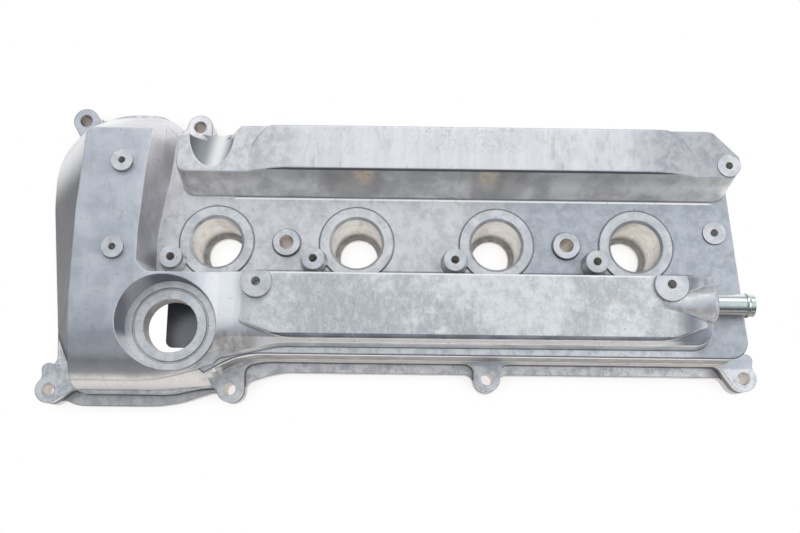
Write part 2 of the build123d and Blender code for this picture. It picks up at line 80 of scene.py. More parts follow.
# ---------------------------------------------------------------- shader graph helpers
class Graph:
    """A material's node tree, with short ways to write masks and layers of colour.

    x, y and z are the place on the part in mm; nx, ny and nz are the way the surface faces.
    """

    def __init__(self, name):
        self.material = bpy.data.materials.new(name)
        self.material.use_nodes = True
        self.tree = self.material.node_tree
        self.shader = self.tree.nodes["Principled BSDF"]
        self.output = self.tree.nodes["Material Output"]
        geometry = self.node("ShaderNodeNewGeometry")
        self.place = geometry.outputs["Position"]
        self.normal = geometry.outputs["True Normal"]
        self.back = geometry.outputs["Backfacing"]
        in_mm = self.node("ShaderNodeVectorMath", operation="SCALE")
        self.put(in_mm.inputs[0], self.place)
        self.put(in_mm.inputs["Scale"], 1 / MM)
        self.x, self.y, self.z = self.parts(in_mm.outputs[0])
        self.nx, self.ny, self.nz = self.parts(geometry.outputs["Normal"])

    def node(self, kind, **settings):
        made = self.tree.nodes.new(kind)
        for key, value in settings.items():
            setattr(made, key, value)
        return made

    def put(self, socket, value):
        if isinstance(value, bpy.types.NodeSocket):
            self.tree.links.new(value, socket)
        elif isinstance(value, tuple) and socket.type == "RGBA":
            socket.default_value = (*value, 1)
        else:
            socket.default_value = value

    def parts(self, vector):
        split = self.node("ShaderNodeSeparateXYZ")
        self.put(split.inputs[0], vector)
        return split.outputs

    def math(self, operation, first, second=0.0, third=None):
        made = self.node("ShaderNodeMath", operation=operation)
        self.put(made.inputs[0], first)
        self.put(made.inputs[1], second)
        if third is not None:
            self.put(made.inputs[2], third)
        return made.outputs[0]

    # ---- masks, 0 to 1
    def times(self, *values):
        result = values[0]
        for value in values[1:]:
            result = self.math("MULTIPLY", result, value)
        return result

    def either(self, first, second):
        return self.math("MAXIMUM", first, second)

    def outside(self, mask):
        return self.math("SUBTRACT", 1.0, mask)

    def step(self, value, start, stop):
        """0 before start, 1 after stop, smooth between; start may be above stop."""
        made = self.node("ShaderNodeMapRange", interpolation_type="SMOOTHSTEP")
        self.put(made.inputs["Value"], value)
        self.put(made.inputs["From Min"], min(start, stop))
        self.put(made.inputs["From Max"], max(start, stop))
        self.put(made.inputs["To Min"], 0.0 if start < stop else 1.0)
        self.put(made.inputs["To Max"], 1.0 if start < stop else 0.0)
        return made.outputs["Result"]

    def band(self, value, low, high, soft):
        """1 from low to high, 0 beyond; each end fades over twice soft."""
        rise = self.step(value, low - soft, low + soft)
        return self.times(rise, self.step(value, high + soft, high - soft))

    def level(self, height, half, soft):
        """1 within half of a height above the gasket face."""
        return self.band(self.z, height - half, height + half, soft)

    def reach(self, spot):
        """Distance from an upright line at (x, y)."""
        dx = self.math("SUBTRACT", self.x, spot[0])
        dy = self.math("SUBTRACT", self.y, spot[1])
        return self.math("SQRT", self.math("ADD", self.times(dx, dx), self.times(dy, dy)))

    def near(self, spots, radius):
        """1 near any of the (x, y) spots, seen from above; it fades out at the radius."""
        total = 0.0
        for spot in spots:
            total = self.either(total, self.step(self.reach(spot), radius, radius * 0.55))
        return total

    def rings(self, spots, radius, width=0.5):
        """1 on a thin circle round each of the (x, y) spots."""
        total = 0.0
        for spot in spots:
            circle = self.band(self.reach(spot), radius - width, radius + width, 0.2)
            total = self.either(total, circle)
        return total

    def corners(self, distance, low=0.3, high=0.6):
        """1 deep in an inner corner, 0 in the open."""
        made = self.node("ShaderNodeAmbientOcclusion", samples=6)
        self.put(made.inputs["Distance"], distance * MM)
        return self.step(self.outside(made.outputs["AO"]), low, high)

    def edges(self, radius):
        """1 on an edge, with the softened normal that goes with it."""
        made = self.node("ShaderNodeBevel", samples=4)
        self.put(made.inputs["Radius"], radius * MM)
        dot = self.node("ShaderNodeVectorMath", operation="DOT_PRODUCT")
        self.put(dot.inputs[0], made.outputs[0])
        self.put(dot.inputs[1], self.normal)
        return self.step(dot.outputs["Value"], 0.992, 0.87), made.outputs[0]

    # ---- textures, colours and the shader
    def noise(self, scale, detail=4.0, rough=0.55, distortion=0.0, stretch=None, shift=(0, 0, 0)):
        """Noise from 0 to 1 by the place in metres, so a scale of 100 has lumps of about 10 mm."""
        vector = self.place
        if stretch is not None or shift != (0, 0, 0):
            mapping = self.node("ShaderNodeMapping")
            self.put(mapping.inputs["Vector"], vector)
            mapping.inputs["Scale"].default_value = stretch or (1, 1, 1)
            mapping.inputs["Location"].default_value = shift
            vector = mapping.outputs[0]
        made = self.node("ShaderNodeTexNoise")
        self.put(made.inputs["Vector"], vector)
        self.put(made.inputs["Scale"], scale)
        self.put(made.inputs["Detail"], detail)
        self.put(made.inputs["Roughness"], rough)
        self.put(made.inputs["Distortion"], distortion)
        return made.outputs["Fac"]

    def mix(self, share, first, second):
        made = self.node("ShaderNodeMix", data_type="RGBA")
        self.put(made.inputs["Factor"], share)
        self.put(made.inputs[6], first)
        self.put(made.inputs[7], second)
        return made.outputs[2]

    def tone(self, texture, first, second, low=0.4, high=0.6):
        """The first colour where the texture is under low, the second where it is over high."""
        return self.mix(self.step(texture, low, high), first, second)

    def lay(self, mask, color, strength=1.0):
        """Puts a colour over what is there, where the mask is 1."""
        share = mask if strength == 1.0 else self.times(mask, strength)
        self.color = self.mix(share, self.color, color)

    def bump(self, height, strength, normal=None, distance=0.3):
        made = self.node("ShaderNodeBump")
        self.put(made.inputs["Height"], height)
        self.put(made.inputs["Strength"], strength)
        self.put(made.inputs["Distance"], distance * MM)
        if normal is not None:
            self.put(made.inputs["Normal"], normal)
        return made.outputs[0]

    def finish(self, roughness, metallic, normal=None):
        self.put(self.shader.inputs["Base Color"], self.color)
        self.put(self.shader.inputs["Roughness"], roughness)
        self.put(self.shader.inputs["Metallic"], metallic)
        if normal is not None:
            self.put(self.shader.inputs["Normal"], normal)
        return self.material


# ---------------------------------------------------------------- die cast aluminium
class Casting(Graph):
    """The casting's skin, built up in layers; each method lays some of them over self.color."""

    def __init__(self, name):
        super().__init__(name)
        self.up = self.step(self.nz, 0.82, 0.97)
        self.side = self.step(self.math("ABSOLUTE", self.nz), 0.75, 0.3)
        self.front_facing = self.step(self.ny, -0.25, -0.6)
        self.broad = self.noise(14, 3, 0.5)
        self.cloud = self.noise(55, 7, 0.62, 0.3)
        self.blot = self.noise(120, 8, 0.72, 0.3, shift=(3.1, 1.7, 0.4))
        self.fine = self.noise(620, 4, 0.75, stretch=(1.0, 0.5, 1.0))
        self.draw = self.noise(90, 6, 0.66, stretch=(1.0, 0.16, 1.0))
        self.color = self.tone(self.cloud, (0.43, 0.465, 0.515), (0.56, 0.59, 0.635), 0.35, 0.66)
        flow = self.noise(60, 5, stretch=(0.22, 1.0, 1.0))
        flow = self.times(self.step(flow, 0.45, 0.7), self.step(self.nz, 0.7, 0.8))
        self.lay(flow, (0.64, 0.655, 0.69), 0.35)

    def skins(self):
        """Flat tops: the deck, paler on the left, its front strip, the flange; painted highlights on narrow
        front steps and at the rear chamber's foot, painted shade at the chambers' feet, round rings and
        bosses and in a corner at the back.
        """
        deck = self.times(self.up, self.level(DECK_TOP, 0.5, 0.4))
        warm = self.tone(self.blot, (0.53, 0.535, 0.55), (0.7, 0.7, 0.71), 0.36)
        cold = self.tone(self.blot, (0.34, 0.375, 0.415), (0.48, 0.51, 0.55), 0.36)
        self.lay(deck, self.mix(self.step(self.x, 75, 20), cold, warm), 0.85)
        strip = self.times(deck, self.step(self.y, -69.5, -70.5), self.band(self.x, -141, 182, 10))
        self.lay(strip, self.tone(self.blot, (0.7, 0.75, 0.78), (0.92, 0.96, 0.98), high=0.56), 0.9)
        # the plinth's top painted pale cream, a painted highlight
        plinth = self.times(self.band(self.z, 61.2, 64.5, 0.2), self.step(self.y, -67.2, -67.5))
        self.lay(self.times(plinth, self.step(self.x, 186, 182)), (1.0, 0.98, 0.95), 0.9)
        # painted shade on the deck along the foot of the front chamber's back wall
        behind = self.times(deck, self.band(self.y, -23.5, -19.2, 0.5), self.band(self.x, -118, 186, 2))
        self.lay(behind, SHADE_DARK, 0.6)

        # pale cream along the skirt's top, a painted highlight
        skirt = self.times(self.band(self.z, 21.4, 22.6, 0.3), self.band(self.y, -81.2, -60, 0.3))
        lug_roots = self.near([(44.7, -84), (227, -80), (-138, -90)], 24)
        self.lay(self.times(skirt, self.outside(lug_roots)), (1.0, 0.95, 0.88), 0.9)
        lugs = self.times(self.up, self.level(LUG_TOP, 0.4, 0.2), self.step(self.y, -80.5, -81.5))
        self.lay(lugs, self.tone(self.blot, (0.52, 0.55, 0.58), (0.8, 0.83, 0.85), 0.38, 0.58), 0.85)
        flange = self.times(self.up, self.level(FLANGE_TOP, 0.5, 0.2))
        self.lay(flange, self.tone(self.blot, (0.64, 0.665, 0.68), WHITE, 0.38, 0.58), 0.9)
        darker_front_left_flange = self.times(flange, self.step(self.x, -130, -160), self.step(self.y, -80, -90))
        self.lay(darker_front_left_flange, (0.4, 0.415, 0.425), 0.5)

        # painted shadow in the nook behind the hump, by the first rear lug
        nook_shadow = self.times(self.band(self.x, -168, -140, 1), self.step(self.y, 72, 74))
        self.lay(self.times(nook_shadow, self.step(self.z, 60, 55)), (0.14, 0.15, 0.17), 0.85)
        foot_highlight_and_shade = self.times(self.up, self.level(DECK_TOP, 0.2, 0.2), self.band(self.x, -135, 200, 2))
        # a painted highlight on the deck just in front of the rear chamber's wall
        self.lay(self.times(foot_highlight_and_shade, self.band(self.y, 31.2, 32.4, 0.3)), WHITE, 0.9)
        # painted shade in the crease at the wall's foot
        self.lay(self.times(foot_highlight_and_shade, self.band(self.y, 32.6, 34.5, 0.2)), (0.2, 0.2, 0.2), 0.8)

        # painted shade: thin dark circles round the wells, studs and coil seats at deck level
        ring_shade = self.either(self.rings(WELLS, 26.1), self.rings(STUDS, 9.8))
        ring_shade = self.either(ring_shade, self.rings(COILS, 8.3))
        self.lay(self.times(ring_shade, self.band(self.z, 51.5, 53.5, 0.5)), SHADE_DARK, 0.8)
        # painted shade round the feet of the bosses
        small = self.rings(SMALL_BOSSES, 8.1, 0.35)
        large = self.times(self.rings(LARGE_BOSSES, 12.0), self.step(self.z, 68, 69.5))
        self.lay(self.times(self.either(small, large), self.up), SHADE_DARK, 0.65)

    def crowns(self):
        """Bright tops of the two chambers, with darker patches that broke the casting skin."""
        scuff = self.noise(260, 7, 0.75, stretch=(1.0, 0.5, 1.0))
        patch = self.noise(34, 7, 0.7, 0.2, shift=(0.7, 0.2, 0))
        more = self.near([(-14, -52), (16, -48), (-60, -50)], 40)
        patch = self.math("MULTIPLY_ADD", more, 0.1, patch)
        less = self.near([(63, -36)], 40)
        patch = self.step(self.math("MULTIPLY_ADD", less, -0.09, patch), 0.46, 0.6)

        front = self.times(self.up, self.band(self.z, 67.2, 73.5, 1), self.step(self.x, -126, -118))
        front = self.times(front, self.step(self.y, -20, -24))
        pale = self.tone(self.blot, (0.58, 0.61, 0.625), (0.76, 0.785, 0.79), 0.36, 0.58)
        grey = self.tone(scuff, (0.36, 0.385, 0.4), (0.6, 0.63, 0.645))
        mottled = self.mix(self.times(patch, self.step(scuff, 0.25, 0.55)), pale, grey)
        pits = self.times(self.step(self.fine, 0.56, 0.68), 0.35)
        mottled = self.mix(pits, mottled, (0.38, 0.41, 0.43))
        glints = self.times(self.step(self.fine, 0.42, 0.32), 0.35)
        mottled = self.mix(glints, mottled, (0.9, 0.91, 0.91))
        self.lay(front, mottled, 0.92)
        # a painted highlight along the front chamber's back edge
        back_edge_highlight = self.band(self.y, -24.7, -23.6, 0.2)
        self.lay(self.times(front, back_edge_highlight), (1.0, 0.98, 0.98), 0.7)

        rear = self.times(self.step(self.nz, 0.5, 0.8), self.step(self.z, 69, 70.5))
        rear = self.times(rear, self.step(self.y, 44, 48), self.step(self.x, -178, -172))
        streaks = self.times(self.step(self.draw, 0.4, 0.62), 0.6)
        washed = self.mix(streaks, (0.68, 0.685, 0.7), (0.8, 0.805, 0.82))
        scuffed = self.times(patch, self.step(scuff, 0.45, 0.6), 0.5)
        washed = self.mix(scuffed, washed, (0.47, 0.47, 0.48))
        # darker towards the left end
        left_end_tone = self.tone(self.blot, (0.5, 0.51, 0.53), (0.68, 0.69, 0.71), high=0.58)
        washed = self.mix(self.times(self.step(self.x, -78, -104), 0.8), washed, left_end_tone)
        # the rolled right end painted darker, a painted shade
        dim = self.tone(self.blot, (0.32, 0.33, 0.355), (0.46, 0.47, 0.5), high=0.58)
        washed = self.mix(self.times(self.step(self.x, 130, 165), 0.9), washed, dim)
        self.lay(rear, washed, 0.92)
        crazed = self.times(rear, self.band(self.x, -12, 70, 12), self.step(self.y, 56, 66))
        wander = self.noise(70, 7, 0.72, 0.4, shift=(0.3, 0.9, 0.0))
        lines = self.times(self.band(wander, 0.485, 0.5, 0.006), self.step(scuff, 0.36, 0.5))
        self.lay(self.times(lines, crazed), (0.3, 0.3, 0.31), 0.55)
        self.lay(self.times(self.step(self.fine, 0.54, 0.64), crazed), (0.36, 0.36, 0.36), 0.35)

    def walls(self):
        """Steep walls: those facing front, and low ones, painted pale warm grey, a painted reflection of the
        white floor; high ones facing away painted slate, a painted shade; a painted shade line along their
        feet.
        """
        forward = self.step(self.ny, 0.2, -0.2)
        where = self.either(forward, self.step(self.z, 30, 20))
        where = self.times(self.side, self.step(self.nz, -0.5, -0.2), where)
        # pale warm grey, a painted reflection of the white floor
        self.lay(where, self.tone(self.cloud, (0.66, 0.62, 0.575), (0.88, 0.84, 0.795), high=0.62), 0.8)
        away = self.times(self.outside(forward), self.step(self.y, 74, 68))
        away = self.times(self.side, self.step(self.z, 50, 54), away)
        # dark slate, a painted shade
        self.lay(away, self.tone(self.cloud, (0.3, 0.31, 0.34), (0.42, 0.43, 0.46), high=0.62), 0.8)
        # a painted shade line at the walls' feet on the deck
        line = self.times(self.side, self.band(self.z, 53, 54, 0.2), self.step(self.ny, 0.4, 0.1))
        self.lay(self.times(line, self.step(self.x, -152, -148)), SHADE_DARK, 0.85)

    def long_side(self):
        """Layered bands down the long front side, from the chamber's wall to the skirt's foot: pale cream
        bands with die streaks, a painted reflection of the white floor; a near-white painted highlight under
        the deck's edge; a grey-brown band; painted shade at the skirt's foot.
        """
        wall = self.times(self.front_facing, self.step(self.x, -148, -144), self.step(self.y, -55, -60), 0.9)
        cream = self.tone(self.draw, (0.84, 0.78, 0.71), (1.0, 0.96, 0.91), high=0.62)
        plain = self.tone(self.cloud, (0.48, 0.5, 0.51), (0.62, 0.64, 0.645))
        grey_brown_band = self.tone(self.draw, (0.27, 0.26, 0.245), (0.4, 0.385, 0.36), high=0.62)
        # cream: a painted reflection of the white floor; the near-white band: a painted highlight
        for low, high, soft, color in (
            (61.2, 68.3, 0.2, cream),
            (54.1, 60.9, 0.2, plain),
            (46.8, 51.7, 0.3, (1.0, 0.965, 0.95)),
            (26.6, 46.4, 0.6, grey_brown_band),
            (18.5, 26.0, 0.5, cream),
        ):
            self.lay(self.times(wall, self.band(self.z, low, high, soft)), color)
        # painted shade at the foot of the skirt
        foot = self.times(self.side, self.step(self.y, -50, -60), self.band(self.z, 9, 16.5, 1.2))
        self.lay(foot, SHADE_DARK, 0.85)

    def rolls(self):
        """Painted shade on the rolled front rims of chamber and deck and on the chamber's rolled right end;
        the pipe's pale cone.
        """
        # painted shade on the front chamber's rolled front rim
        chamber = self.times(self.band(self.z, 68.1, 71.2, 0.3), self.step(self.y, -64.9, -65.5))
        chamber = self.times(chamber, self.step(self.x, -122, -118), self.step(self.nz, 0.05, 0.2))
        self.lay(chamber, self.tone(self.cloud, (0.12, 0.13, 0.165), (0.22, 0.23, 0.27)), 0.92)
        # painted shade on the deck's front rim
        rim = self.times(self.band(self.z, 51.7, 52.9, 0.2), self.step(self.y, -60, -68))
        self.lay(self.times(rim, self.step(self.nz, 0.12, 0.3)), SHADE_DARK, 0.9)
        # painted shade on the front chamber's rolled right end
        run_off = self.times(self.band(self.x, 170, 190.5, 8), self.band(self.z, 54.5, 70.5, 1))
        run_off = self.times(run_off, self.step(self.nz, 0.25, 0.45), self.step(self.y, -20, -24))
        self.lay(run_off, self.tone(self.draw, (0.11, 0.12, 0.15), (0.26, 0.27, 0.31), 0.35, 0.65), 0.9)
        cone = self.times(self.band(self.x, 166, 204, 1), self.band(self.y, -62, -27, 2))
        cone = self.times(cone, self.band(self.nz, 0.1, 0.93, 0.05), self.step(self.z, 55, 57))
        fan = self.tone(self.blot, (0.5, 0.49, 0.485), (0.82, 0.8, 0.785), 0.36)
        self.lay(self.times(cone, self.step(self.nx, -0.55, -0.2)), fan, 0.8)

    def bulge(self):
        """The hump at the left end, from its filler recess to the foot of its rolled front, with its light
        and shade painted: shade in the recess, on the left wall, the trench and the front roll; highlights
        on the slopes behind, the back corner and the front wall.
        """
        # painted shade on the filler recess's wall
        recess = self.times(self.near([FILLER], 75), self.step(self.nz, 0.5, 0.3))
        recess = self.times(recess, self.step(self.z, 60.5, 62), self.step(self.y, -100, -90))
        self.lay(recess, (0.17, 0.185, 0.22), 0.9)
        # the hump's left wall: painted shade at the front, turning to a painted highlight at the back
        left = self.times(self.step(self.nx, -0.45, -0.7), self.step(self.x, -232.5, -235))
        self.lay(left, self.mix(self.step(self.y, 30, 67), (0.055, 0.06, 0.075), WHITE), 0.92)

        # the trench wall: painted shade, with a painted highlight towards the back and a lighter front end
        trench = self.times(self.step(self.nx, 0.3, 0.6), self.band(self.x, -200, -170, 3))
        trench = self.times(trench, self.step(self.z, 52, 56))
        self.lay(trench, self.tone(self.cloud, (0.36, 0.35, 0.39), (0.46, 0.45, 0.48)), 0.8)
        self.lay(self.times(trench, self.step(self.y, 20, 62)), (1.0, 0.98, 0.99))
        self.lay(self.times(trench, self.step(self.y, 5, -20)), (0.66, 0.65, 0.69), 0.6)

        # speckled pale colour, a painted highlight on the slopes behind the hump and in the saddle
        speckled_highlight = self.tone(self.fine, (0.95, 0.94, 0.95), (0.76, 0.75, 0.76), 0.36, 0.66)
        slope = self.times(self.step(self.ny, 0.12, 0.35), self.step(self.x, -148, -152))
        self.lay(self.times(slope, self.step(self.z, 6, 10)), speckled_highlight, 0.85)
        # a painted highlight on the hump's back left corner
        corner = self.times(self.step(self.y, 66, 84), self.step(self.x, -212, -226))
        corner = self.times(corner, self.step(self.nz, 0.9, 0.82), self.step(self.z, 20, 30))
        self.lay(corner, WHITE)
        saddle = self.times(self.band(self.x, -190, -158, 4), self.step(self.y, 30, 50))
        saddle = self.times(saddle, self.step(self.z, 69, 66), self.step(self.nz, 0.1, 0.3))
        self.lay(saddle, speckled_highlight, 0.75)

        ledge = self.times(self.step(self.nz, 0.7, 0.85), self.band(self.x, -152, -124, 8))
        ledge = self.times(ledge, self.band(self.z, 65.5, 80, 1), self.band(self.y, -62, -20, 8))
        self.lay(ledge, (0.93, 0.95, 0.96), 0.75)
        lower = self.times(self.band(self.x, -165, -115, 10), self.band(self.y, -79, -64, 3))
        lower = self.times(lower, self.band(self.z, 53.5, 75, 2), self.step(self.nz, 0.1, 0.3))
        self.lay(lower, self.tone(self.draw, (0.3, 0.275, 0.265), (0.66, 0.62, 0.6)), 0.75)
        # painted shade on the hump's rolled front
        roll = self.times(self.band(self.nz, 0.42, 0.78, 0.1), self.step(self.ny, -0.3, -0.5))
        roll = self.times(roll, self.step(self.x, -150, -156), self.step(self.z, 50, 60))
        self.lay(roll, (0.16, 0.165, 0.19), 0.7)
        # pale warm grey on the hump's front wall, a painted reflection of the white floor
        foot = self.times(self.side, self.front_facing, self.step(self.x, -152, -158))
        foot = self.times(foot, self.band(self.z, 23, 52, 6))
        self.lay(foot, self.tone(self.fine, (0.95, 0.9, 0.865), (0.78, 0.725, 0.69), high=0.62), 0.9)

    def rear_wall(self):
        """Front wall of the rear chamber: pale streaked grey, a painted reflection of the white floor,
        painted darker under its rim and in patches, a painted shade, with two tan spots, painted reflections
        of the plug wells.
        """
        wall = self.times(self.step(self.ny, -0.35, -0.55), self.band(self.y, 31, 49.5, 1))
        wall = self.times(wall, self.band(self.z, 53.5, 76.5, 1), 0.9)
        # pale streaked grey, a painted reflection of the white floor
        drag_and_shade = self.tone(self.cloud, (0.64, 0.64, 0.635), (0.95, 0.945, 0.93), 0.36, 0.62)
        drag_and_shade = self.mix(self.times(self.step(self.draw, 0.5, 0.7), 0.5), drag_and_shade, (0.94, 0.92, 0.9))
        # painted shade under the rim
        drag_and_shade = self.mix(self.times(self.step(self.z, 62, 73), 0.4), drag_and_shade, (0.34, 0.335, 0.34))
        self.lay(wall, drag_and_shade)
        shade = self.near([(-44, 44), (42, 44), (56, 44), (-58, 44)], 17)
        self.lay(self.times(wall, shade), (0.3, 0.295, 0.285), 0.5)
        # two tan spots, painted reflections of the bright plug wells
        well_reflection = self.times(self.near([(-44, 47), (42, 47)], 9), self.step(self.blot, 0.36, 0.55))
        self.lay(self.times(wall, well_reflection), (0.85, 0.72, 0.56), 0.88)

    def brow_and_scoop(self):
        """Painted shade on the rear chamber's front rim, and the scoop at its left end painted with a
        half-pipe's shade and highlight.
        """
        # painted shade along the rim
        brow = self.times(self.step(self.ny, -0.1, -0.25), self.band(self.y, 44, 50, 1))
        self.lay(self.times(brow, self.step(self.z, 73.8, 74.4)), (0.1, 0.105, 0.135), 0.88)
        scoop = self.times(self.band(self.x, -167, -133, 0.5), self.step(self.y, 47, 49))
        scoop = self.times(scoop, self.step(self.z, 71.9, 71.6), self.band(self.nz, 0.03, 0.97, 0.01))
        # the scoop: painted shade on its left side, a painted highlight in its middle, painted shade at its
        # right edge
        bowl = self.mix(self.step(self.x, -156, -166), (0.3, 0.33, 0.36), (0.08, 0.09, 0.11))
        self.lay(scoop, self.mix(self.band(self.x, -152, -141, 5), bowl, WHITE), 0.95)
        self.lay(self.times(scoop, self.step(self.x, -139, -135)), (0.1, 0.12, 0.11), 0.8)

    def wear(self):
        """Specks, streaks and rust smears; painted shade in inner corners; painted highlights on outer
        edges, with painted shade on those facing front or lying low.
        """
        specks = self.times(self.step(self.noise(420, 2, 0.5), 0.66, 0.74), self.step(self.broad, 0.4, 0.58))
        self.lay(specks, (0.2, 0.2, 0.21), 0.45)
        streak = self.noise(170, 6, 0.75, stretch=(1.0, 0.22, 1.0), shift=(2.0, 0.4, 1.0))
        self.lay(self.times(self.step(streak, 0.56, 0.68), self.up), (0.26, 0.27, 0.29), 0.28)
        rust = self.step(self.noise(30, 6, 0.7, 1.0, shift=(5, 2, 1)), 0.58, 0.72)
        self.lay(self.times(rust, self.step(self.blot, 0.4, 0.58)), (0.36, 0.3, 0.25), 0.35)

        # painted highlights and painted shade along outer edges
        painted_edge, soft = self.edges(1.3)
        _, soft_y, _ = self.parts(soft)
        shady = self.either(self.step(soft_y, -0.12, -0.4), self.step(self.z, 30, 26))
        # the two narrow steps down the front side keep their own bands of colour
        steps = self.either(self.band(self.z, 60.3, 66.5, 0.3), self.band(self.z, 20.5, 24.5, 0.3))
        elsewhere = self.outside(self.times(steps, self.step(self.y, -65.2, -65.6), 0.85))
        edge_highlight_and_shade = self.mix(shady, (0.96, 0.96, 0.96), (0.1, 0.105, 0.125))
        self.lay(self.times(painted_edge, elsewhere), edge_highlight_and_shade, 0.8)
        # painted shade in inner corners
        self.lay(self.times(self.corners(1.6), elsewhere), CORNER_SHADE, 0.85)
        grain = self.math("ADD", self.times(self.noise(900, 3, 0.6), 0.35), self.times(self.blot, 0.65))
        rough = self.math("ADD", 0.36, self.times(self.cloud, 0.22))
        return self.finish(rough, 0.72, self.bump(grain, 0.28, soft))


def cast_skin(name, *layers):
    """A material of the casting; Cycles draws one with too many nodes black, so there are three."""
    g = Casting(name)
    for layer in layers:
        layer(g)
    return g.wear()


def machined():
    """Faced rings and boss tops: plain grey, brighter at the second well, darker at the fourth."""
    g = Graph("machined_faces")
    cloud = g.noise(90, 6, 0.6, 0.3)
    g.color = g.tone(cloud, (0.52, 0.545, 0.575), (0.68, 0.7, 0.72), 0.36, 0.64)
    g.lay(g.near(WELLS[1:2], 28), (0.74, 0.74, 0.73), 0.6)
    g.lay(g.near(WELLS[3:], 28), (0.42, 0.45, 0.49), 0.5)
    g.lay(g.step(g.noise(300, 5, 0.75), 0.54, 0.66), (0.3, 0.31, 0.33), 0.4)
    # painted shade along the faces' edges
    painted_edge, soft = g.edges(0.6)
    g.lay(painted_edge, (0.13, 0.135, 0.15), 0.55)
    # painted shade in inner corners
    g.lay(g.corners(1.6, high=0.62), (0.09, 0.09, 0.1), 0.85)
    rough = g.math("ADD", 0.3, g.times(cloud, 0.18))
    return g.finish(rough, 0.75, g.bump(g.noise(700, 3, 0.5), 0.12, soft))


def bore_walls():
    """As-cast walls inside holes, painted pale cream, a painted light from the bright floor below, with
    brown staining towards the foot.
    """
    g = Graph("bore_walls")
    cloud = g.noise(110, 6, 0.65, 0.6)
    run = g.noise(160, 4, 0.6, stretch=(1, 1, 0.2))
    # pale cream, a painted light from the bright floor below
    g.color = g.tone(cloud, (0.84, 0.78, 0.7), (1.0, 0.98, 0.94), 0.34, 0.64)
    g.lay(g.step(run, 0.52, 0.72), (0.5, 0.43, 0.35), 0.4)
    g.lay(g.step(g.z, 16, 4), (0.45, 0.41, 0.37), 0.3)
    rear_lugs = g.times(g.step(g.y, 70, 75), g.step(g.z, 26, 24))
    g.lay(rear_lugs, (0.3, 0.27, 0.24), 0.7)
    return g.finish(0.4, 0.8, g.bump(cloud, 0.3))


def lip_faces():
    """Ledges at the narrowed foot of the plug wells."""
    g = Graph("lip_faces")
    cloud = g.noise(200, 4, 0.6)
    g.color = g.tone(cloud, (0.42, 0.43, 0.44), (0.6, 0.6, 0.6), 0.35, 0.65)
    return g.finish(0.4, 0.7, g.bump(cloud, 0.2))


# ---------------------------------------------------------------- steel parts
def zinc():
    """Bright zinc plate with a faint green-yellow passivation, painted darker towards the front, a painted
    shade.
    """
    g = Graph("zinc_plate")
    cloud = g.noise(80, 5, 0.6, 0.8)
    around = g.noise(260, 4, 0.6, stretch=(5, 1, 1))
    g.color = g.tone(cloud, (0.76, 0.84, 0.82), (0.93, 0.94, 0.9), 0.35, 0.65)
    # painted shade on the sides facing front
    g.lay(g.step(g.ny, 0.42, 0.2), (0.46, 0.55, 0.555), 0.75)
    g.lay(g.step(g.ny, -0.25, -0.55), (0.24, 0.22, 0.21), 0.8)
    g.lay(g.step(around, 0.5, 0.75), (0.5, 0.54, 0.52), 0.3)
    # painted shade in inner corners
    g.lay(g.corners(1.6, high=0.7), (0.1, 0.11, 0.11), 0.6)
    # a painted highlight along the edges
    painted_edge, soft = g.edges(0.35)
    g.lay(painted_edge, (0.95, 0.95, 0.93), 0.3)
    rough = g.math("ADD", 0.16, g.times(around, 0.12))
    return g.finish(rough, 1.0, g.bump(around, 0.08, soft))


def dark_sheet():
    """Oil-blackened baffle sheet, with a sheen under the filler."""
    g = Graph("oiled_sheet")
    cloud = g.noise(26, 4, 0.5, 0.6)
    g.color = g.tone(cloud, (0.035, 0.037, 0.04), (0.11, 0.115, 0.12), 0.35, 0.65)
    g.lay(g.step(g.noise(300, 3, 0.6), 0.6, 0.72), (0.16, 0.15, 0.14), 0.4)
    g.lay(g.times(g.near([(-162, -62)], 22), g.step(cloud, 0.3, 0.6)), (0.24, 0.255, 0.28), 0.7)
    rough = g.math("ADD", 0.16, g.times(cloud, 0.25))
    return g.finish(rough, 0.9, g.bump(g.noise(40, 3, 0.5), 0.35, distance=0.8))


def screw_steel():
    """Plain grey steel of the baffle screws."""
    g = Graph("screw_steel")
    cloud = g.noise(300, 4, 0.6)
    g.color = g.tone(cloud, (0.3, 0.3, 0.3), (0.52, 0.51, 0.48), 0.35, 0.65)
    # painted shade in inner corners
    g.lay(g.corners(1.2, high=0.7), (0.06, 0.06, 0.06), 0.6)
    return g.finish(0.34, 0.9, g.bump(cloud, 0.15))


# ---------------------------------------------------------------- faces of the casting by what made them
# order of the casting's material slots
DECKS, CROWNS, WALLS, MACHINED, BORE_WALLS, LIPS = range(6)
# limits of the upward part of a face's normal
STEEP, SLOPED, FLAT = 0.4, 0.78, 0.95
# the levels between which a well's chamfer lies
CHAMFER_LOW, CHAMFER_HIGH = 51, 54.1


def face_kind(center, normal):
    """The material slot for a face of the casting."""
    x, y, z = (value / MM for value in center)

    def within(radius, spot):
        return math.hypot(x - spot[0], y - spot[1]) < radius

    if abs(normal.z) < STEEP:
        if any(low < z < high and within(radius, spot) for *spot, low, high, radius in BORES):
            return BORE_WALLS
    if STEEP < normal.z < FLAT and CHAMFER_LOW < z < CHAMFER_HIGH:
        if any(within(WELL_CHAMFER_R, spot) for spot in WELLS):
            return MACHINED
    if normal.z > FLAT:
        if abs(z - WELL_FOOT) < 0.2 and any(within(WELL_R, spot) for spot in WELLS):
            return LIPS
        if any(abs(z - level) < 0.15 and within(radius, spot) for *spot, level, radius in FACED):
            return MACHINED
    if normal.z <= SLOPED:
        return WALLS
    return CROWNS if z > CROWNS_FROM else DECKS


def dress(obj, *materials):
    obj.data.materials.clear()
    for material in materials:
        obj.data.materials.append(material)


